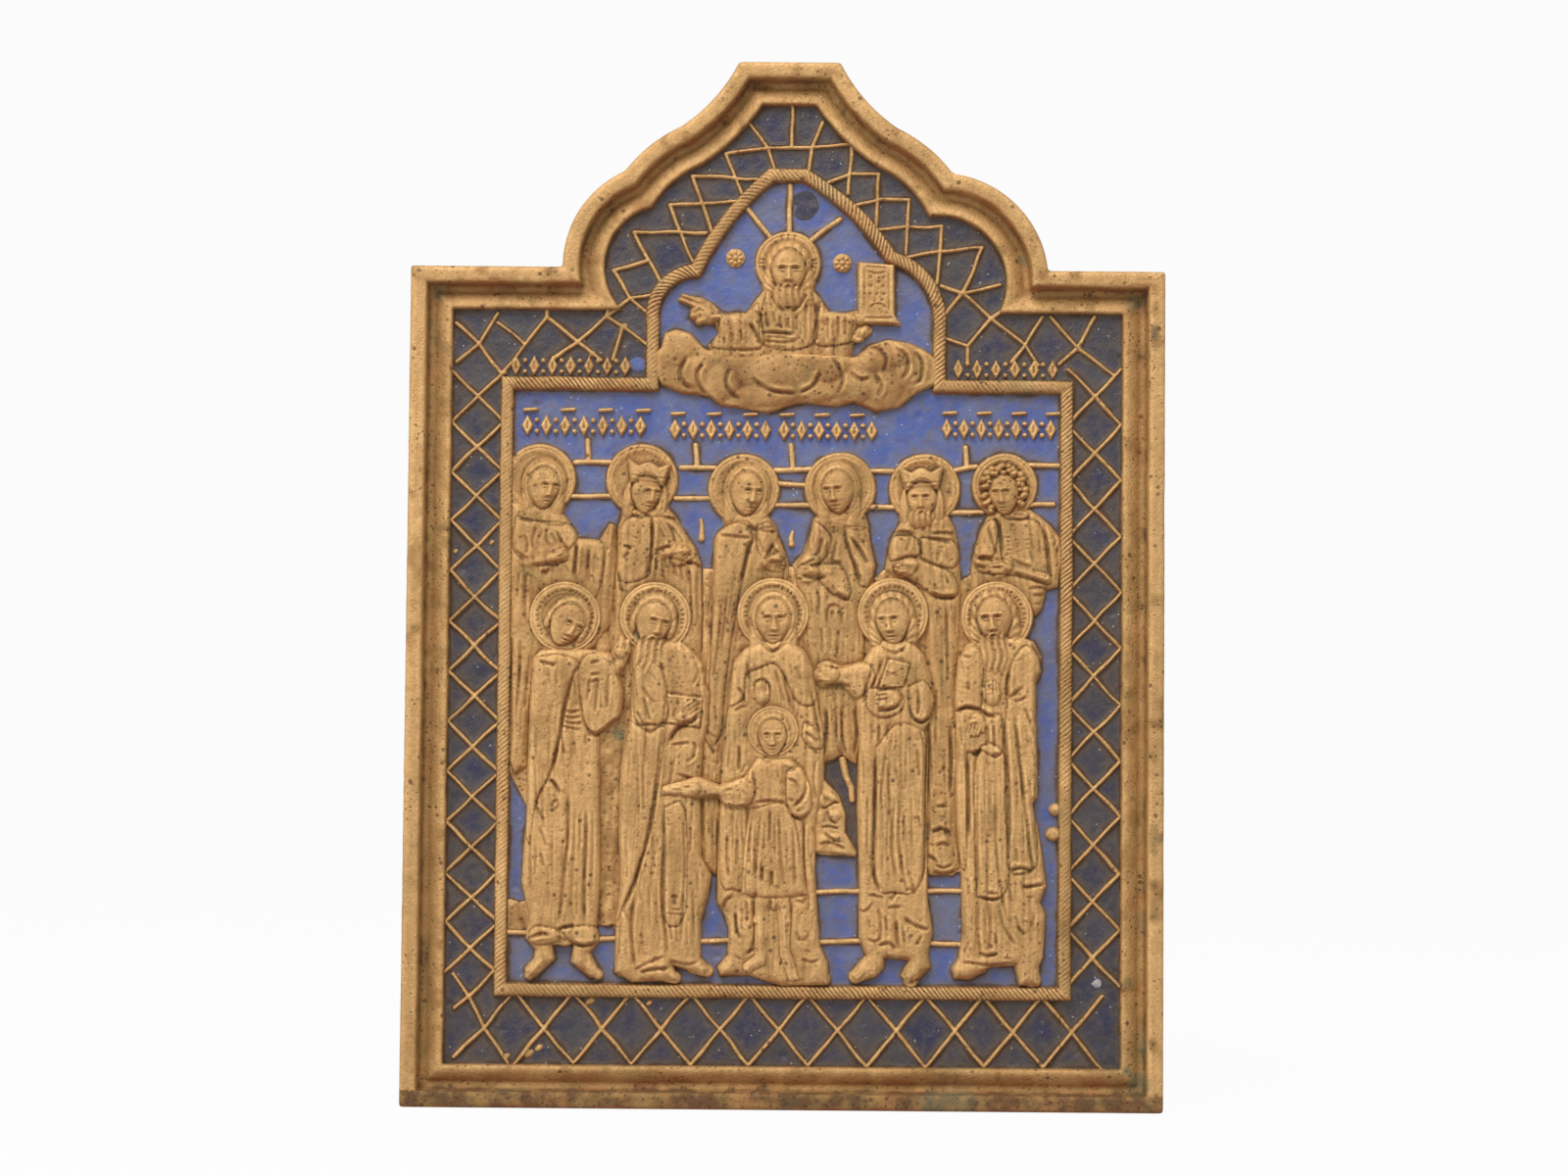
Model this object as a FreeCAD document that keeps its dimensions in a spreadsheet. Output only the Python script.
"""A cast bronze travel icon: a keel-headed plaque with a raised frame, a lattice border, a rope border and a group of
saints in low relief, with vitreous enamel fired into the sunk cells of its front.

The real thing is one casting and many fills of enamel. Each fill is a separate piece of glass that lies in a cell of
the casting, so the casting is one sub-part and the fills are grouped by the place that they fill.

Everything is drawn lying on its back: X runs across the icon, Y up the icon and Z out of its face, and a height is
measured from the back. The finished sub-parts are then stood upright, with +Z up and the face looking along -Y. The
origin is the middle of the foot. All lengths are in millimetres. Places inside the rope border are shares of the
panel's width and height, counted from the panel's lower left corner.
"""

import FreeCAD, Part
import os
from FreeCAD import Placement, Rotation, Vector

OUT = Vector(0, 0, 1)
CORNER_STEPS = 12

# Alias, value and meaning of every driving dimension. Heights are above the back of the plate, reaches are from the
# centre line and rises are above the top of the panel.
SIZES = (
    ("plate_width", 101.0, "across the frame"),
    ("plate_height", 139.8, "foot to the flat top of the head"),
    ("plate_depth", 5.6, "back to the top of the rim"),
    ("shoulder_height", 111.9, "foot to the shoulders"),
    ("left_lobe_reach", 30.2, "foot of the left lobe"),
    ("right_lobe_reach", 34.8, "foot of the right lobe"),
    ("left_lobe_bulge", 2.3, "fullness of the left lobe"),
    ("right_lobe_bulge", 3.2, "fullness of the right lobe"),
    ("notch_reach", 22.0, "notch above each lobe"),
    ("notch_height", 124.9, "foot to the notches"),
    ("keel_turn_reach", 14.5, "place where the keel turns hollow"),
    ("keel_turn_height", 131.0, "foot to where the keel turns hollow"),
    ("head_reach", 6.8, "corners of the flat top"),
    ("keel_bulge", 0.6, "fullness of the lower keel"),
    ("keel_hollow", 0.75, "hollow of the upper keel"),
    ("rim_width", 2.2, "flat top of the rim"),
    ("groove_floor", 2.6, "height of the groove inside the rim"),
    ("groove_width", 1.2, "flat floor of the groove"),
    ("shelf_slope", 1.4, "width of the slope between groove and shelf"),
    ("shelf_width", 0.8, "flat of the shelf beside the border"),
    ("shelf_height", 4.2, "height of the shelf"),
    ("floor_height", 1.8, "height of the sunk floor under the enamel"),
    ("panel_width", 75.0, "left to right middle of the rope border"),
    ("panel_height", 81.0, "bottom to top middle of the rope border"),
    ("panel_foot", 15.4, "foot of the plate to the bottom middle of the rope border"),
    ("rope_width", 1.8, "rope border across its foot"),
    ("rope_crest_width", 0.9, "rope border across its crest"),
    ("rope_edge_height", 3.5, "height of the rope's sides"),
    ("rope_height", 4.2, "height of the rope's crest"),
    ("arch_left_reach", 18.1, "left leg of the rope arch"),
    ("arch_right_reach", 20.4, "right leg of the rope arch"),
    ("arch_leg", 8.3, "straight legs of the rope arch"),
    ("arch_left_notch_reach", 12.4, "left notch of the rope arch"),
    ("arch_right_notch_reach", 13.9, "right notch of the rope arch"),
    ("arch_left_notch_rise", 15.4, "left notch of the rope arch"),
    ("arch_right_notch_rise", 17.4, "right notch of the rope arch"),
    ("arch_head_rise", 28.4, "flat top of the rope arch"),
    ("arch_head_reach", 2.3, "corners of the rope arch's flat top"),
    ("arch_lobe_bulge", 2.0, "fullness of the lobes of the rope arch"),
    ("arch_keel_bulge", 0.9, "fullness of the keel of the rope arch"),
    ("rib_width", 0.6, "lattice ribs, wall lines and rays"),
    ("rib_height", 3.3, "height of the lattice ribs"),
    ("left_pitch", 6.7, "crossing to crossing of the lattice on the left"),
    ("right_pitch", 7.5, "crossing to crossing of the lattice on the right"),
    ("foot_pitch", 7.8, "crossing to crossing of the lattice at the foot"),
    ("dark_enamel_height", 2.9, "height of the dark enamel of the border"),
    ("sky_enamel_height", 2.8, "height of the light enamel of the panel"),
    ("drop_radius", 1.95, "round drop of dark enamel in the arch"),
    ("wall_line_height", 3.2, "height of the wall lines and rays"),
    ("smallest_fill_side", 0.65, "a cell smaller than a cube of this side holds no enamel"),
    ("back_halo_height", 3.5, "height of the haloes of the back row"),
    ("back_robe_edge", 3.1, "height of the sides of the back row's robes"),
    ("back_robe_height", 3.9, "height of the back row's robes"),
    ("back_head_height", 4.7, "height of the back row's heads"),
    ("front_halo_height", 4.0, "height of the haloes of the front row"),
    ("front_robe_edge", 3.7, "height of the sides of the front row's robes"),
    ("front_robe_height", 4.5, "height of the front row's robes"),
    ("front_head_height", 5.2, "height of the front row's heads"),
    ("child_robe_edge", 4.6, "height of the sides of the child's robe"),
    ("child_robe_height", 5.0, "height of the child's robe"),
    ("child_halo_height", 4.7, "height of the child's halo"),
    ("child_head_height", 5.4, "height of the child's head"),
    ("robe_slope", 0.35, "width of the slope at the edge of a robe"),
    ("halo_radius", 4.8, "haloes of the two rows"),
    ("small_halo_radius", 4.4, "haloes of the blessing figure and of the last saint of the back row"),
    ("child_halo_radius", 3.45, "halo of the child"),
    ("face_radius", 2.5, "round of a head where it leaves its halo"),
    ("child_face_radius", 2.0, "round of the child's head where it leaves its halo"),
    ("ground_height", 3.0, "height of the bare metal grounds"),
    ("cloud_edge", 3.4, "height of the sides of the cloud"),
    ("cloud_height", 4.2, "height of the cloud"),
    ("cloud_slope", 0.6, "width of the slope at the edge of the cloud"),
    ("book_height", 4.1, "height of the open book of the blessing figure"),
    ("lozenge_width", 1.3, "lozenges of the ornament rows, across the icon"),
    ("lozenge_length", 2.4, "lozenges of the ornament rows, up the icon"),
    ("ornament_pitch", 2.3, "middle to middle of the lozenges in a row"),
    ("pellet_radius", 0.35, "pellets between the lozenges"),
    ("rosette_radius", 1.3, "the two studs beside the blessing figure"),
    ("root_depth", 0.3, "how deep a raised form is rooted in what carries it"),
)

# The widths that make up the frame, from the outer edge of the plate to the edge of the sunk border.
FRAME_WIDTHS = ("rim_width", "groove_width", "shelf_slope", "shelf_width")

# Row, middle of the halo and outline of the robe of each figure.
FIGURE_SHARES = {
    "veiled_woman_left": ("back", (0.060, 0.840), (
        (0.006, 0.805), (0.050, 0.800), (0.098, 0.790), (0.118, 0.765), (0.133, 0.744), (0.168, 0.742),
        (0.185, 0.769), (0.196, 0.764), (0.200, 0.720), (0.190, 0.600), (0.100, 0.480), (0.050, 0.470),
        (0.045, 0.362), (0.020, 0.352), (0.006, 0.380))),
    "crowned_saint_left": ("back", (0.242, 0.841), (
        (0.194, 0.560), (0.197, 0.755), (0.208, 0.785), (0.228, 0.795), (0.290, 0.795), (0.308, 0.775),
        (0.325, 0.750), (0.340, 0.730), (0.350, 0.700), (0.353, 0.620), (0.350, 0.540))),
    "veiled_woman_middle_left": ("back", (0.424, 0.826), (
        (0.352, 0.190), (0.352, 0.450), (0.358, 0.560), (0.368, 0.680), (0.371, 0.745), (0.380, 0.758),
        (0.398, 0.772), (0.404, 0.787), (0.465, 0.787), (0.482, 0.768), (0.492, 0.742), (0.503, 0.715),
        (0.507, 0.695), (0.500, 0.620), (0.420, 0.400), (0.383, 0.190))),
    "veiled_woman_middle_right": ("back", (0.596, 0.830), (
        (0.511, 0.702), (0.530, 0.722), (0.541, 0.752), (0.548, 0.778), (0.560, 0.790), (0.640, 0.790),
        (0.648, 0.768), (0.652, 0.735), (0.661, 0.702), (0.655, 0.660), (0.644, 0.580), (0.640, 0.450),
        (0.630, 0.372), (0.602, 0.388), (0.566, 0.372), (0.545, 0.450), (0.535, 0.600), (0.517, 0.680))),
    "crowned_saint_right": ("back", (0.747, 0.829), (
        (0.676, 0.695), (0.684, 0.735), (0.690, 0.752), (0.702, 0.772), (0.714, 0.787), (0.790, 0.787),
        (0.802, 0.765), (0.809, 0.735), (0.813, 0.680), (0.813, 0.400), (0.817, 0.205), (0.802, 0.192),
        (0.760, 0.192), (0.748, 0.205), (0.745, 0.500), (0.750, 0.620), (0.735, 0.670), (0.700, 0.680))),
    "curly_saint": ("back", (0.890, 0.836), (
        (0.828, 0.640), (0.830, 0.700), (0.838, 0.735), (0.848, 0.765), (0.860, 0.787), (0.880, 0.797),
        (0.935, 0.798), (0.955, 0.786), (0.975, 0.769), (0.991, 0.750), (0.994, 0.710), (0.987, 0.668),
        (0.966, 0.664), (0.958, 0.632), (0.948, 0.622), (0.900, 0.610))),
    "cloaked_saint": ("front", (0.108, 0.612), (
        (0.050, 0.545), (0.046, 0.470), (0.045, 0.400), (0.043, 0.290), (0.036, 0.175), (0.050, 0.125),
        (0.045, 0.085), (0.062, 0.066), (0.060, 0.052), (0.044, 0.035), (0.047, 0.020), (0.064, 0.022),
        (0.096, 0.051), (0.092, 0.074), (0.130, 0.076), (0.126, 0.046), (0.160, 0.021), (0.178, 0.024),
        (0.160, 0.062), (0.176, 0.082), (0.170, 0.105), (0.177, 0.200), (0.172, 0.420), (0.208, 0.446),
        (0.214, 0.490), (0.200, 0.535), (0.222, 0.552), (0.222, 0.576), (0.205, 0.580), (0.190, 0.555),
        (0.150, 0.560), (0.100, 0.562), (0.065, 0.558))),
    "bearded_bishop": ("front", (0.269, 0.613), (
        (0.204, 0.030), (0.204, 0.120), (0.212, 0.170), (0.208, 0.250), (0.209, 0.350), (0.214, 0.410),
        (0.226, 0.450), (0.229, 0.530), (0.243, 0.555), (0.262, 0.575), (0.315, 0.575), (0.335, 0.560),
        (0.355, 0.535), (0.358, 0.505), (0.367, 0.490), (0.366, 0.440), (0.356, 0.400), (0.352, 0.330),
        (0.355, 0.220), (0.373, 0.190), (0.366, 0.150), (0.355, 0.115), (0.355, 0.055), (0.373, 0.038),
        (0.360, 0.025), (0.335, 0.034), (0.306, 0.042), (0.318, 0.018), (0.235, 0.014))),
    "mother": ("front", (0.478, 0.621), (
        (0.390, 0.026), (0.386, 0.040), (0.403, 0.060), (0.405, 0.100), (0.398, 0.125), (0.384, 0.145),
        (0.384, 0.250), (0.388, 0.350), (0.393, 0.420), (0.402, 0.480), (0.408, 0.540), (0.425, 0.562),
        (0.455, 0.578), (0.505, 0.578), (0.535, 0.562), (0.552, 0.530), (0.560, 0.470), (0.571, 0.420),
        (0.571, 0.340), (0.558, 0.280), (0.556, 0.200), (0.562, 0.120), (0.567, 0.075), (0.580, 0.050),
        (0.583, 0.012), (0.500, 0.010), (0.440, 0.027))),
    "apostle": ("front", (0.692, 0.622), (
        (0.552, 0.512), (0.558, 0.540), (0.577, 0.546), (0.600, 0.536), (0.640, 0.545), (0.655, 0.568),
        (0.675, 0.580), (0.725, 0.578), (0.748, 0.556), (0.760, 0.520), (0.768, 0.480), (0.762, 0.452),
        (0.750, 0.430), (0.756, 0.400), (0.754, 0.260), (0.757, 0.150), (0.766, 0.100), (0.758, 0.064),
        (0.763, 0.043), (0.742, 0.022), (0.722, 0.014), (0.710, 0.028), (0.724, 0.054), (0.681, 0.057),
        (0.680, 0.040), (0.665, 0.026), (0.630, 0.016), (0.620, 0.030), (0.648, 0.062), (0.636, 0.090),
        (0.635, 0.200), (0.631, 0.300), (0.633, 0.420), (0.626, 0.478), (0.600, 0.503), (0.565, 0.498))),
    "bearded_monk": ("front", (0.877, 0.619), (
        (0.800, 0.040), (0.812, 0.058), (0.820, 0.100), (0.816, 0.200), (0.806, 0.280), (0.803, 0.400),
        (0.802, 0.500), (0.808, 0.548), (0.822, 0.572), (0.850, 0.585), (0.920, 0.588), (0.942, 0.578),
        (0.956, 0.553), (0.956, 0.528), (0.948, 0.510), (0.948, 0.450), (0.951, 0.360), (0.950, 0.322),
        (0.942, 0.310), (0.952, 0.270), (0.961, 0.220), (0.967, 0.175), (0.956, 0.150), (0.966, 0.130),
        (0.962, 0.060), (0.955, 0.046), (0.956, 0.014), (0.920, 0.014), (0.912, 0.047), (0.870, 0.044),
        (0.835, 0.024), (0.806, 0.024))),
    "blessing_figure": ("back", (0.500, 1.203), (
        (0.305, 1.138), (0.312, 1.150), (0.345, 1.146), (0.365, 1.136), (0.382, 1.121), (0.425, 1.122),
        (0.440, 1.140), (0.462, 1.165), (0.540, 1.165), (0.560, 1.145), (0.578, 1.120), (0.628, 1.127),
        (0.636, 1.100), (0.622, 1.085), (0.612, 1.035), (0.370, 1.035), (0.357, 1.066), (0.375, 1.085),
        (0.368, 1.100), (0.338, 1.099), (0.325, 1.113), (0.334, 1.128))),
    "child": ("child", (0.480, 0.427), (
        (0.425, 0.160), (0.430, 0.240), (0.440, 0.300), (0.396, 0.300), (0.386, 0.317), (0.350, 0.317),
        (0.283, 0.320), (0.283, 0.336), (0.345, 0.352), (0.385, 0.338), (0.430, 0.352), (0.452, 0.384),
        (0.510, 0.382), (0.534, 0.366), (0.550, 0.330), (0.550, 0.300), (0.535, 0.284), (0.535, 0.220),
        (0.542, 0.160), (0.512, 0.155), (0.513, 0.070), (0.532, 0.020), (0.512, 0.018), (0.496, 0.060),
        (0.490, 0.135), (0.470, 0.135), (0.471, 0.045), (0.432, 0.028), (0.430, 0.046), (0.452, 0.062),
        (0.450, 0.155))),
}
# Figures with a smaller halo than their row.
SMALL_HALOES = ("curly_saint", "blessing_figure")

BOOK_SHARES = ((0.625, 1.206), (0.690, 1.202), (0.691, 1.118), (0.702, 1.102), (0.626, 1.104))
CLOUD_SHARES = (
    (0.262, 1.020), (0.262, 1.050), (0.275, 1.062), (0.280, 1.085), (0.300, 1.091), (0.325, 1.085),
    (0.345, 1.066), (0.370, 1.056), (0.500, 1.054), (0.620, 1.048), (0.645, 1.066), (0.680, 1.077),
    (0.720, 1.071), (0.742, 1.062), (0.768, 1.045), (0.768, 1.005), (0.732, 0.990), (0.700, 0.966),
    (0.660, 0.958), (0.620, 0.974), (0.590, 0.966), (0.530, 0.971), (0.500, 0.966), (0.465, 0.954),
    (0.420, 0.962), (0.382, 0.966), (0.362, 0.981), (0.310, 0.986), (0.275, 1.000))
# Bare metal grounds between the robes, where the casting holds no enamel.
GROUND_SHARES = {
    "left": ((0.006, 0.360), (0.006, 0.560), (0.353, 0.560), (0.372, 0.690), (0.372, 0.400), (0.208, 0.105),
             (0.160, 0.105)),
    "upper_left": ((0.150, 0.540), (0.150, 0.690), (0.205, 0.700), (0.205, 0.540)),
    "lower_left": ((0.006, 0.095), (0.006, 0.150), (0.034, 0.145), (0.060, 0.150), (0.050, 0.095)),
    "middle": ((0.352, 0.695), (0.375, 0.695), (0.400, 0.400), (0.396, 0.190), (0.352, 0.190)),
    "middle_right": ((0.505, 0.700), (0.516, 0.700), (0.560, 0.500), (0.562, 0.370), (0.540, 0.330),
                     (0.480, 0.500)),
    "behind_apostle": ((0.640, 0.540), (0.640, 0.650), (0.760, 0.650), (0.760, 0.540)),
    "drapery_bundle": ((0.545, 0.345), (0.578, 0.345), (0.600, 0.322), (0.612, 0.290), (0.612, 0.260),
                       (0.624, 0.222), (0.545, 0.226)),
    "right": ((0.655, 0.680), (0.680, 0.700), (0.812, 0.680), (0.830, 0.690), (0.900, 0.640), (0.818, 0.198),
              (0.748, 0.198), (0.745, 0.600)),
}
# Wall lines behind the haloes, ledges between the robes and rays over the upper halo: the ends of each.
WALL_LINE_SHARES = (
    ((0.145, 0.905), (0.145, 0.872)), ((0.122, 0.870), (0.185, 0.869)), ((0.110, 0.813), (0.190, 0.813)),
    ((0.338, 0.900), (0.340, 0.864)), ((0.312, 0.862), (0.372, 0.862)), ((0.302, 0.812), (0.366, 0.812)),
    ((0.508, 0.900), (0.511, 0.862)), ((0.480, 0.859), (0.545, 0.861)), ((0.480, 0.838), (0.538, 0.834)),
    ((0.475, 0.801), (0.550, 0.801)), ((0.650, 0.859), (0.690, 0.859)), ((0.650, 0.799), (0.695, 0.799)),
    ((0.820, 0.900), (0.822, 0.865)), ((0.800, 0.861), (0.840, 0.868)), ((0.795, 0.792), (0.850, 0.792)),
    ((0.930, 0.871), (0.990, 0.871)), ((0.930, 0.804), (0.978, 0.807)),
    ((0.012, 0.093), (0.050, 0.092)), ((0.174, 0.084), (0.208, 0.086)), ((0.352, 0.082), (0.406, 0.083)),
    ((0.555, 0.163), (0.636, 0.166)), ((0.560, 0.082), (0.640, 0.084)), ((0.750, 0.167), (0.822, 0.167)),
    ((0.755, 0.081), (0.822, 0.080)),
    ((0.425, 1.295), (0.466, 1.248)), ((0.502, 1.335), (0.502, 1.250)), ((0.592, 1.279), (0.540, 1.243)),
)
# Ribs of the lattice that follow no pitch, at the corners of the border and over the rope arch: the corners of each.
LOOSE_RIB_SHARES = (
    ((-0.094, 1.099), (-0.052, 1.065), (-0.012, 1.016)), ((-0.094, 1.034), (-0.052, 1.065), (-0.018, 1.118)),
    ((-0.018, 1.102), (0.030, 1.064), (0.068, 1.110), (0.125, 1.069), (0.175, 1.113), (0.218, 1.142),
     (0.187, 1.190), (0.250, 1.206)),
    ((0.030, 1.064), (-0.012, 1.016)), ((0.068, 1.110), (0.068, 1.122)), ((0.175, 1.113), (0.178, 1.125)),
    ((0.125, 1.069), (0.082, 1.042)), ((0.125, 1.069), (0.168, 1.040)), ((0.175, 1.113), (0.250, 1.066)),
    ((0.204, 1.095), (0.188, 1.042)), ((0.218, 1.142), (0.250, 1.118)), ((0.218, 1.142), (0.268, 1.153)),
    ((0.352, 1.254), (0.222, 1.254), (0.278, 1.160)), ((0.414, 1.306), (0.285, 1.298), (0.330, 1.205)),
    ((0.462, 1.343), (0.325, 1.349), (0.362, 1.256)),
    ((0.625, 1.408), (0.540, 1.397), (0.465, 1.395), (0.386, 1.386), (0.426, 1.300)),
    ((0.425, 1.440), (0.462, 1.395), (0.480, 1.345)), ((0.504, 1.472), (0.505, 1.398)),
    ((0.560, 1.440), (0.540, 1.397), (0.532, 1.345)), ((0.612, 1.403), (0.606, 1.320)),
    ((0.560, 1.335), (0.612, 1.355), (0.662, 1.355), (0.655, 1.262)),
    ((0.620, 1.300), (0.665, 1.313), (0.716, 1.313), (0.711, 1.222)),
    ((0.646, 1.262), (0.710, 1.266), (0.776, 1.268), (0.766, 1.172)),
    ((0.712, 1.216), (0.775, 1.226), (0.848, 1.232), (0.812, 1.156)),
    ((0.775, 1.168), (0.812, 1.156), (0.864, 1.116), (0.925, 1.071), (0.948, 1.038)),
    ((0.812, 1.156), (0.880, 1.170)), ((0.772, 1.108), (0.812, 1.156)),
    ((0.895, 1.136), (0.864, 1.116), (0.822, 1.067), (0.772, 1.083)), ((0.822, 1.067), (0.822, 1.040)),
    ((0.955, 1.118), (0.925, 1.071), (0.900, 1.042)),
    ((0.970, 1.118), (1.020, 1.066), (1.086, 1.022)), ((1.050, 1.118), (1.020, 1.066), (0.988, 1.040)),
    ((-0.094, 0.030), (-0.055, -0.012), (-0.012, -0.016)), ((-0.094, -0.050), (-0.055, -0.012)),
    ((-0.055, -0.012), (-0.026, -0.058)), ((1.008, -0.014), (1.048, -0.026), (1.092, -0.020)),
    ((1.013, -0.058), (1.048, -0.026), (1.092, 0.017)),
)
# Middle of the first crossing of each straight run of the lattice and how many crossings follow one another.
LEFT_RUN_SHARES, LEFT_CROSSINGS = (-0.053, 0.977), 12
RIGHT_RUN_SHARES, RIGHT_CROSSINGS = (1.051, 0.985), 11
FOOT_RUN_SHARES, FOOT_CROSSINGS = (-0.026, -0.0625), 11

# Ornament rows: left and right end of the middle line of each.
HEADING_ROW_SHARES = (
    ((0.036, 0.930), (0.238, 0.930)), ((0.300, 0.925), (0.462, 0.925)), ((0.495, 0.925), (0.652, 0.925)),
    ((0.786, 0.930), (0.972, 0.930)))
SHOULDER_ROW_SHARES = (((0.014, 1.029), (0.210, 1.029)), ((0.806, 1.029), (0.975, 1.029)))
ROSETTE_SHARES = ((0.405, 1.212), (0.597, 1.205))
DROP_SHARES = (0.528, 1.302)

# Each fill belongs to the first of these places that holds its middle: name, lower left and upper right corner.
DARK_PLACE_SHARES = (
    ("border_enamel_head_left", (-0.200, 1.150), (0.503, 1.500)),
    ("border_enamel_head_right", (0.503, 1.130), (1.200, 1.500)),
    ("border_enamel_shoulder_left", (-0.200, 1.000), (0.503, 1.150)),
    ("border_enamel_shoulder_right", (0.503, 1.000), (1.200, 1.130)),
    ("border_enamel_foot_left", (-0.012, -0.200), (0.500, 0.000)),
    ("border_enamel_foot_right", (0.500, -0.200), (1.012, 0.000)),
    ("border_enamel_left_lower", (-0.200, -0.200), (0.000, 0.500)),
    ("border_enamel_left_upper", (-0.200, 0.500), (0.000, 1.100)),
    ("border_enamel_right_lower", (1.000, -0.200), (1.200, 0.500)),
    ("border_enamel_right_upper", (1.000, 0.500), (1.200, 1.100)),
)
SKY_PLACE_SHARES = (
    ("sky_enamel_arch_left", (0.200, 1.000), (0.500, 1.420)),
    ("sky_enamel_arch_right", (0.500, 1.000), (0.850, 1.420)),
    ("sky_enamel_wall_left", (0.000, 0.740), (0.190, 0.900)),
    ("sky_enamel_wall_middle", (0.400, 0.680), (0.560, 0.900)),
    ("sky_enamel_wall_middle_right", (0.560, 0.660), (0.720, 0.900)),
    ("sky_enamel_wall_right", (0.720, 0.660), (0.880, 0.900)),
    ("sky_enamel_wall_far_right", (0.880, 0.740), (1.000, 0.900)),
    ("sky_enamel_heading", (0.000, 0.880), (1.000, 1.100)),
    ("sky_enamel_left_strip", (0.000, 0.120), (0.050, 0.400)),
    ("sky_enamel_right_strip", (0.850, 0.200), (1.000, 0.740)),
    ("sky_enamel_foot_left", (0.000, 0.000), (0.210, 0.120)),
    ("sky_enamel_foot_middle_left", (0.210, 0.000), (0.540, 0.200)),
    ("sky_enamel_foot_middle_right", (0.540, 0.000), (0.700, 0.400)),
    ("sky_enamel_foot_right", (0.700, 0.000), (1.000, 0.200)),
)


def inside_side(point, start, end, bulge):
    """How far a point lies inside one edge of a counter-clockwise outline, and the direction further in."""
    inwards = OUT.cross(end - start).normalize()
    if not bulge:
        return inwards.dot(point - start), inwards
    sign = 1 if bulge > 0 else -1
    radius = ((end - start).Length ** 2 / 4 + bulge ** 2) / (2 * abs(bulge))
    centre = (start + end) / 2 + inwards * (sign * radius - bulge)
    spoke = centre - point
    return sign * (radius - spoke.Length), spoke.normalize() * sign


def moved_stops(stops, distance):
    """The stops of an outline whose every edge is moved inwards by the distance, with sharp corners. The corner of two
    edges is found by closing in on the point that lies equally far inside both."""
    edges = [(Vector(*a, 0), Vector(*b, 0), bulge) for (a, bulge), (b, _) in zip(stops, stops[1:] + stops[:1])]
    corners = []
    for last, following in zip(edges[-1:] + edges[:-1], edges):
        point = following[0]
        for _ in range(CORNER_STEPS):
            depth, inwards = inside_side(point, *last)
            next_depth, next_inwards = inside_side(point, *following)
            turn = inwards.x * next_inwards.y - inwards.y * next_inwards.x
            gap, next_gap = distance - depth, distance - next_depth
            across = (gap * next_inwards.y - next_gap * inwards.y) / turn
            along = (next_gap * inwards.x - gap * next_inwards.x) / turn
            point = point + Vector(across, along, 0)
        corners.append(point)
    moved = []
    for (start, end, bulge), a, b in zip(edges, corners, corners[1:] + corners[:1]):
        if bulge:
            sign = 1 if bulge > 0 else -1
            radius = ((end - start).Length ** 2 / 4 + bulge ** 2) / (2 * abs(bulge)) - sign * distance
            bulge = sign * (radius - (radius ** 2 - (b - a).Length ** 2 / 4) ** (1 / 2))
        moved.append(((a.x, a.y), bulge))
    return moved


def bent_wire(stops):
    """A closed wire through stops of ((x, y), bulge), counter-clockwise. The edge that leaves a stop is a line, or an
    arc that stands out of the outline by the bulge."""
    edges = []
    for (start, bulge), (end, _) in zip(stops, stops[1:] + stops[:1]):
        a, b = Vector(*start, 0), Vector(*end, 0)
        if bulge:
            outward = (b - a).cross(OUT).normalize()
            edges.append(Part.Arc(a, (a + b) / 2 + outward * bulge, b).toShape())
        else:
            edges.append(Part.makeLine(a, b))
    return Part.Wire(edges)


def polygon(points):
    """A closed wire through the points."""
    return Part.makePolygon(list(points) + [points[0]])


def mitred(points, distance, closed):
    """The points moved to the left of their line by the distance, so that every side stays parallel to itself."""
    before = points[-1:] + points[:-1] if closed else points[:1] + points[:-1]
    after = points[1:] + points[:1] if closed else points[1:] + points[-1:]
    moved = []
    for last, here, following in zip(before, points, after):
        coming = here - last if here != last else following - here
        going = following - here if following != here else coming
        left, next_left = OUT.cross(coming).normalize(), OUT.cross(going).normalize()
        moved.append(here + (left + next_left) * (distance / (1 + left.dot(next_left))))
    return moved


def shrunk(points, distance):
    """A closed outline's corners, moved into it by the distance."""
    turning = sum(a.x * b.y - b.x * a.y for a, b in zip(points, points[1:] + points[:1]))
    return mitred(points, distance if turning > 0 else -distance, True)


def ribbon(points, width):
    """A flat face of even width along a line of points."""
    left, right = mitred(points, width / 2, False), mitred(points, -width / 2, False)
    return Part.Face(polygon(left + right[::-1]))


def ring(outer, inner):
    """The flat face between two closed wires."""
    return Part.Face(outer).cut(Part.Face(inner))


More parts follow.
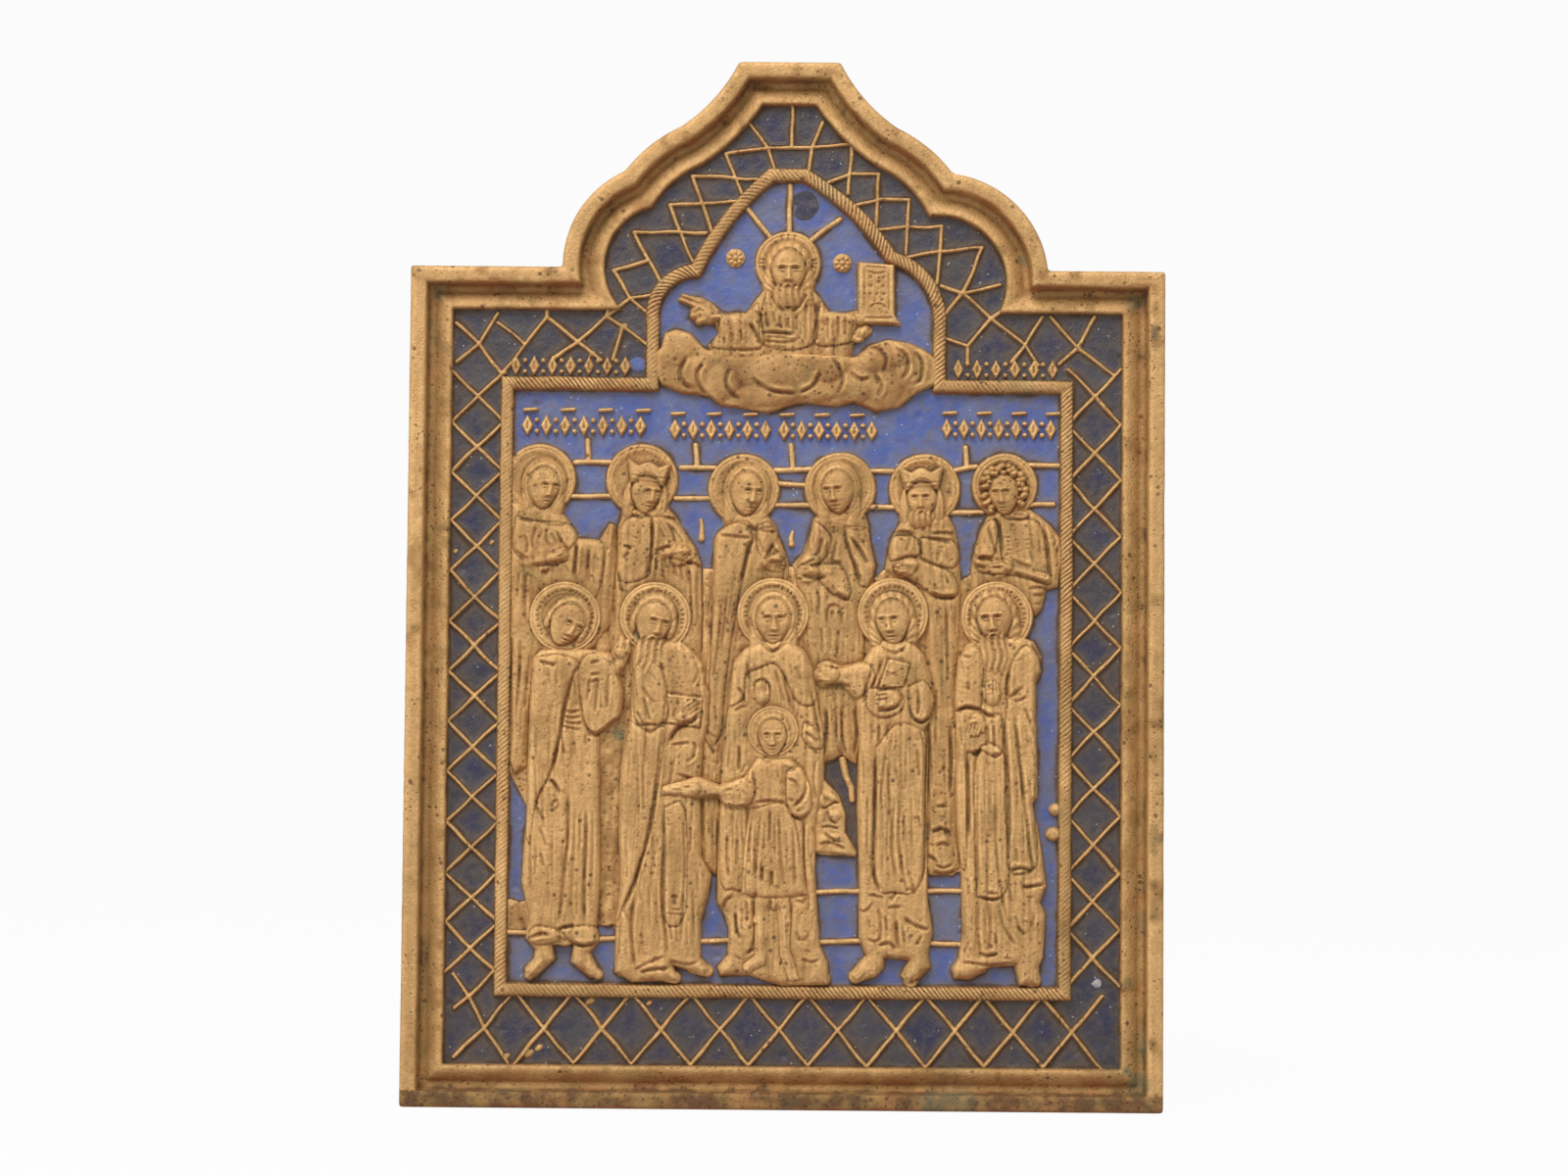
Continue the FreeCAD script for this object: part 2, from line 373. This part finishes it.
class IconMaker:
    """Holds the document, its sheet of sizes and the sub-parts made from them."""

    def __init__(self):
        self.doc = FreeCAD.newDocument("travel_icon")
        self.sheet = self.doc.addObject("Spreadsheet::Sheet", "sizes")
        for row, (alias, value, meaning) in enumerate(SIZES, start=1):
            self.sheet.set(f"A{row}", alias)
            self.sheet.set(f"B{row}", str(value))
            self.sheet.set(f"C{row}", meaning)
            self.sheet.setAlias(f"B{row}", alias)
        self.doc.recompute()
        self.nodes = []

    def size(self, alias):
        """One value of the sheet."""
        return float(self.sheet.get(alias))

    def total(self, *aliases):
        """The sum of several values of the sheet."""
        return sum(self.size(alias) for alias in aliases)

    def spot(self, shares):
        """A place given in shares of the panel, on the flat drawing."""
        across = (shares[0] - 1 / 2) * self.size("panel_width")
        return Vector(across, self.size("panel_foot") + shares[1] * self.size("panel_height"), 0)

    def spots(self, shares):
        """Several places given in shares of the panel."""
        return [self.spot(share) for share in shares]

    def plate_edge(self, *inset):
        """The keel-headed outline of the whole plate, moved inwards by the sum of the named widths."""
        half, top = self.size("plate_width") / 2, self.size("plate_height")
        left, right = -self.size("left_lobe_reach"), self.size("right_lobe_reach")
        shoulder = self.size("shoulder_height")
        notch, notch_y = self.size("notch_reach"), self.size("notch_height")
        turn, turn_y = self.size("keel_turn_reach"), self.size("keel_turn_height")
        head = self.size("head_reach")
        bulge, hollow = self.size("keel_bulge"), -self.size("keel_hollow")
        stops = [
            ((half, 0), 0), ((half, shoulder), 0), ((right, shoulder), self.size("right_lobe_bulge")),
            ((notch, notch_y), bulge), ((turn, turn_y), hollow), ((head, top), 0), ((-head, top), hollow),
            ((-turn, turn_y), bulge), ((-notch, notch_y), self.size("left_lobe_bulge")), ((left, shoulder), 0),
            ((-half, shoulder), 0), ((-half, 0), 0)]
        return bent_wire(moved_stops(stops, self.total(*inset)))

    def rope_line(self, shift):
        """The middle line of the rope border, round the panel and its arch, moved inwards by a length."""
        half, foot = self.size("panel_width") / 2, self.size("panel_foot")
        top = foot + self.size("panel_height")
        left, right = -self.size("arch_left_reach"), self.size("arch_right_reach")
        leg = top + self.size("arch_leg")
        left_notch = (-self.size("arch_left_notch_reach"), top + self.size("arch_left_notch_rise"))
        right_notch = (self.size("arch_right_notch_reach"), top + self.size("arch_right_notch_rise"))
        reach, head = self.size("arch_head_reach"), top + self.size("arch_head_rise")
        lobe, keel = self.size("arch_lobe_bulge"), self.size("arch_keel_bulge")
        stops = [
            ((half, foot), 0), ((half, top), 0), ((right, top), 0), ((right, leg), lobe), (right_notch, keel),
            ((reach, head), 0), ((-reach, head), keel), (left_notch, lobe), ((left, leg), 0), ((left, top), 0),
            ((-half, top), 0), ((-half, foot), 0)]
        return bent_wire(moved_stops(stops, shift))

    def outline(self, name, flat, height):
        """A flat face or wire at a height of the sheet."""
        feature = self.doc.addObject("Part::Feature", name)
        feature.Shape = flat
        if height:
            feature.setExpression("Placement.Base.z", height)
        return feature

    def prism(self, name, flat, foot, top):
        """A straight-sided solid over a flat face, between two heights, where an empty foot is the back."""
        solid = self.doc.addObject("Part::Extrusion", name)
        solid.Base = self.outline(name + "_outline", flat, foot)
        solid.DirMode = "Custom"
        solid.Dir = OUT
        solid.Solid = True
        solid.setExpression("LengthFwd", f"{top} - ({foot})" if foot else top)
        return solid

    def raised(self, name, flat, top):
        """A straight-sided form that stands on the sunk floor and is rooted in it."""
        return self.prism(name, flat, "sizes.floor_height - sizes.root_depth", "sizes." + top)

    def bank(self, name, low, high, foot, top):
        """A solid whose sides slope from a lower wire to a higher one."""
        solid = self.doc.addObject("Part::Loft", name)
        solid.Sections = [
            self.outline(name + "_low", low, "sizes." + foot),
            self.outline(name + "_high", high, "sizes." + top),
        ]
        solid.Solid = True
        solid.Ruled = True
        return solid

    def disc(self, name, centre, radius, top):
        """A round form that stands on the sunk floor and is rooted in it."""
        solid = self.doc.addObject("Part::Cylinder", name)
        solid.Placement.Base = centre
        solid.setExpression("Placement.Base.z", "sizes.floor_height - sizes.root_depth")
        solid.setExpression("Radius", "sizes." + radius)
        solid.setExpression("Height", f"sizes.{top} - sizes.floor_height + sizes.root_depth")
        return solid

    def dome(self, name, centre, radius, foot, top):
        """A head: the round top of a ball that leaves its ground at the foot height with the given radius."""
        solid = self.doc.addObject("Part::Sphere", name)
        rise = f"(sizes.{top} - sizes.{foot})"
        ball = f"({rise} ^ 2 + sizes.{radius} ^ 2) / (2 * {rise})"
        solid.Placement.Base = centre
        solid.Angle1 = 0
        solid.setExpression("Radius", ball)
        solid.setExpression("Placement.Base.z", f"sizes.{top} - {ball}")
        return solid

    def union(self, name, shapes):
        """One object that joins several."""
        joined = self.doc.addObject("Part::MultiFuse", name)
        joined.Shapes = shapes
        return joined

    def cut(self, name, base, tool):
        """The base with the tool taken away."""
        left = self.doc.addObject("Part::Cut", name)
        left.Base = base
        left.Tool = tool
        return left

    def stand(self, node):
        """Stands a finished sub-part upright, with the origin in the middle of its thickness."""
        node.Label = node.Name
        node.Placement = Placement(Vector(0, self.size("plate_depth") / 2, 0), Rotation(Vector(1, 0, 0), 90))
        self.nodes.append(node)

    def frame(self):
        """The plate with its rim, groove and shelf, and the sunk floor inside them."""
        outline = self.plate_edge()
        slab = self.prism("slab", Part.Face(outline), "", "sizes.groove_floor")
        rim = self.prism("rim", ring(outline, self.plate_edge("rim_width")), "", "sizes.plate_depth")
        shelf = self.bank(
            "shelf",
            self.plate_edge("rim_width", "groove_width"),
            self.plate_edge("rim_width", "groove_width", "shelf_slope"),
            "groove_floor", "shelf_height")
        field = Part.Face(self.plate_edge(*FRAME_WIDTHS))
        sunk = self.prism("sunk_field", field, "sizes.floor_height", "sizes.plate_depth")
        return self.cut("frame", self.union("frame_blank", [slab, rim, shelf]), sunk)

    def rope(self):
        """The rope border: straight sides and a crest with sloping flanks."""
        wide, crest = self.size("rope_width") / 2, self.size("rope_crest_width") / 2
        sides = self.raised("rope_sides", ring(self.rope_line(-wide), self.rope_line(wide)), "rope_edge_height")
        outer = self.bank(
            "rope_outer", self.rope_line(-wide), self.rope_line(-crest), "rope_edge_height", "rope_height")
        inner = self.bank(
            "rope_inner", self.rope_line(wide), self.rope_line(crest), "rope_edge_height", "rope_height")
        return [sides, self.cut("rope_crest", outer, inner)]

    def lattice(self):
        """The ribs of the border: crossed zigzags along three sides and loose ribs at the corners and the arch."""
        rope_edge = (self.size("panel_width") + self.size("rope_width")) / 2
        side_width = self.size("plate_width") / 2 - self.total(*FRAME_WIDTHS) - rope_edge
        foot_width = self.size("panel_foot") - self.size("rope_width") / 2 - self.total(*FRAME_WIDTHS)
        lines = [self.spots(shares) for shares in LOOSE_RIB_SHARES]
        up, along = Vector(0, 1, 0), Vector(1, 0, 0)
        lines += self.zigzags(LEFT_RUN_SHARES, LEFT_CROSSINGS, -up, along, "left_pitch", side_width)
        lines += self.zigzags(RIGHT_RUN_SHARES, RIGHT_CROSSINGS, -up, along, "right_pitch", side_width)
        lines += self.zigzags(FOOT_RUN_SHARES, FOOT_CROSSINGS, along, up, "foot_pitch", foot_width)
        ribs = [
            self.raised(f"rib_{count}", ribbon(line, self.size("rib_width")), "rib_height")
            for count, line in enumerate(lines)
        ]
        reach = self.plate_edge("rim_width", "groove_width", "shelf_slope")
        kept = self.doc.addObject("Part::Common", "lattice")
        kept.Base = self.union("ribs", ribs)
        kept.Tool = self.raised("lattice_reach", ring(reach, self.rope_line(0)), "rib_height")
        return kept

    def zigzags(self, first_shares, crossings, forward, sideways, pitch, width):
        """Two zigzag lines that cross in the middle of a strip, from half a pitch before the first crossing."""
        start = self.spot(first_shares) - forward * (self.size(pitch) / 2)
        swing = sideways * (width / 2 + self.size("root_depth"))
        lines = []
        for side in (1, -1):
            lines.append([
                start + forward * (self.size(pitch) * step) + swing * (side * (-1) ** step)
                for step in range(crossings + 1)
            ])
        return lines

    def figure(self, name, row, halo_shares, robe_shares):
        """A figure of the relief: its halo, its robe with a sloping edge and its head. The first two cut the sky."""
        radius = "halo_radius"
        if name in SMALL_HALOES:
            radius = "small_halo_radius"
        if row == "child":
            radius = "child_halo_radius"
        centre = self.spot(halo_shares)
        robe = self.spots(robe_shares)
        top = shrunk(robe, self.size("robe_slope"))
        halo = self.disc(name + "_halo", centre, radius, row + "_halo_height")
        sides = self.raised(name + "_robe", Part.Face(polygon(robe)), row + "_robe_edge")
        crown = self.bank(
            name + "_folds", polygon(robe), polygon(top), row + "_robe_edge", row + "_robe_height")
        face = "child_face_radius" if row == "child" else "face_radius"
        head = self.dome(name + "_head", centre, face, row + "_halo_height", row + "_head_height")
        return [halo, sides], [crown, head]

    def cloud(self):
        """The cloud that closes the foot of the arch."""
        edge = self.spots(CLOUD_SHARES)
        sides = self.raised("cloud_sides", Part.Face(polygon(edge)), "cloud_edge")
        top = self.bank(
            "cloud_top", polygon(edge), polygon(shrunk(edge, self.size("cloud_slope"))), "cloud_edge", "cloud_height")
        return sides, top

    def ornament_row(self, name, ends, top):
        """A row of lozenges with a pellet between each two."""
        start, end = self.spots(ends)
        pitch = self.size("ornament_pitch")
        count = int((end - start).Length / pitch)
        half = Vector(self.size("lozenge_width") / 2, 0, 0)
        tall = Vector(0, self.size("lozenge_length") / 2, 0)
        shapes = []
        for step in range(count + 1):
            middle = start + (end - start) * (step / count)
            flat = Part.Face(polygon([middle - half, middle - tall, middle + half, middle + tall]))
            shapes.append(self.raised(f"{name}_lozenge_{step}", flat, top))
            if step < count:
                between = middle + (end - start) / (2 * count)
                shapes.append(self.disc(f"{name}_pellet_{step}", between, "pellet_radius", top))
        return shapes

    def fills(self, bed, places, smallest):
        """The solids of a bed of enamel, one sub-part for each place, without the slivers."""
        corners = [(name, self.spot(low), self.spot(high)) for name, low, high in places]
        grouped = {name: [] for name, _, _ in places}
        for solid in bed.Shape.Solids:
            if solid.Volume < smallest:
                continue
            middle = solid.CenterOfMass
            for name, low, high in corners:
                if low.x <= middle.x <= high.x and low.y <= middle.y <= high.y:
                    grouped[name].append(solid)
                    break
        for name, solids in grouped.items():
            if solids:
                fill = self.doc.addObject("Part::Feature", name)
                fill.Shape = Part.makeCompound(solids)
                self.stand(fill)

    def make(self):
        """The whole icon."""
        rope = self.rope()
        lattice = self.lattice()
        walls, tops = [], []
        for name, (row, halo, robe) in FIGURE_SHARES.items():
            low, high = self.figure(name, row, halo, robe)
            walls += low
            tops += high
        cloud_sides, cloud_top = self.cloud()
        walls.append(cloud_sides)
        walls.append(self.raised("book", Part.Face(polygon(self.spots(BOOK_SHARES))), "book_height"))
        for name, shares in GROUND_SHARES.items():
            walls.append(self.raised("ground_" + name, Part.Face(polygon(self.spots(shares))), "ground_height"))
        for count, ends in enumerate(WALL_LINE_SHARES):
            line = ribbon(self.spots(ends), self.size("rib_width"))
            walls.append(self.raised(f"wall_line_{count}", line, "wall_line_height"))
        for count, ends in enumerate(HEADING_ROW_SHARES):
            walls += self.ornament_row(f"heading_{count}", ends, "wall_line_height")
        for count, centre in enumerate(ROSETTE_SHARES):
            walls.append(self.disc(f"rosette_{count}", self.spot(centre), "rosette_radius", "wall_line_height"))
        shoulder_rows = []
        for count, ends in enumerate(SHOULDER_ROW_SHARES):
            shoulder_rows += self.ornament_row(f"shoulder_{count}", ends, "rib_height")

        panel_tools = self.union("panel_tools", walls)
        border_tools = self.union("border_tools", [lattice] + shoulder_rows)
        casting = self.union(
            "casting", [self.frame(), panel_tools, border_tools] + rope + tops + [cloud_top])
        self.stand(casting)

        wide = self.size("rope_width") / 2
        dark_ring = ring(self.plate_edge(*FRAME_WIDTHS), self.rope_line(-wide))
        dark_bed = self.prism("dark_bed", dark_ring, "sizes.floor_height", "sizes.dark_enamel_height")
        dark = self.cut("dark_fills", dark_bed, border_tools)
        drop_face = Part.Face(Part.Wire(Part.makeCircle(self.size("drop_radius"), self.spot(DROP_SHARES))))
        drop_bed = self.prism("drop_bed", drop_face, "sizes.floor_height", "sizes.sky_enamel_height")
        self.stand(self.cut("dark_enamel_drop", drop_bed, panel_tools))
        sky_face = Part.Face(self.rope_line(wide))
        sky_bed = self.prism("sky_bed", sky_face, "sizes.floor_height", "sizes.sky_enamel_height")
        sky = self.cut("sky_fills", self.cut("sky_round_drop", sky_bed, drop_bed), panel_tools)
        self.doc.recompute()
        smallest = self.size("smallest_fill_side") ** 3
        self.fills(dark, DARK_PLACE_SHARES, smallest)
        self.fills(sky, SKY_PLACE_SHARES, smallest)
        self.doc.recompute()

    def check(self):
        """Stops when an object of the document failed or a sub-part is not a valid shape."""
        for item in self.doc.Objects:
            if "Invalid" in item.State or "Error" in item.State:
                raise RuntimeError(f"{item.Label} failed: {item.State}")
        for node in self.nodes:
            if node.Shape.isNull() or not node.Shape.isValid():
                raise RuntimeError(f"{node.Label} is not a valid shape")

    def write(self):
        """Writes every sub-part to its file."""
        os.makedirs("parts", exist_ok=True)
        for node in self.nodes:
            node.Shape.exportStep(f"parts/{node.Label}.step")
            volume = round(node.Shape.Volume, 1)
            print(f"{node.Label}: {len(node.Shape.Solids)} solids, {volume} cubic mm")


icon = IconMaker()
icon.make()
icon.check()
icon.write()
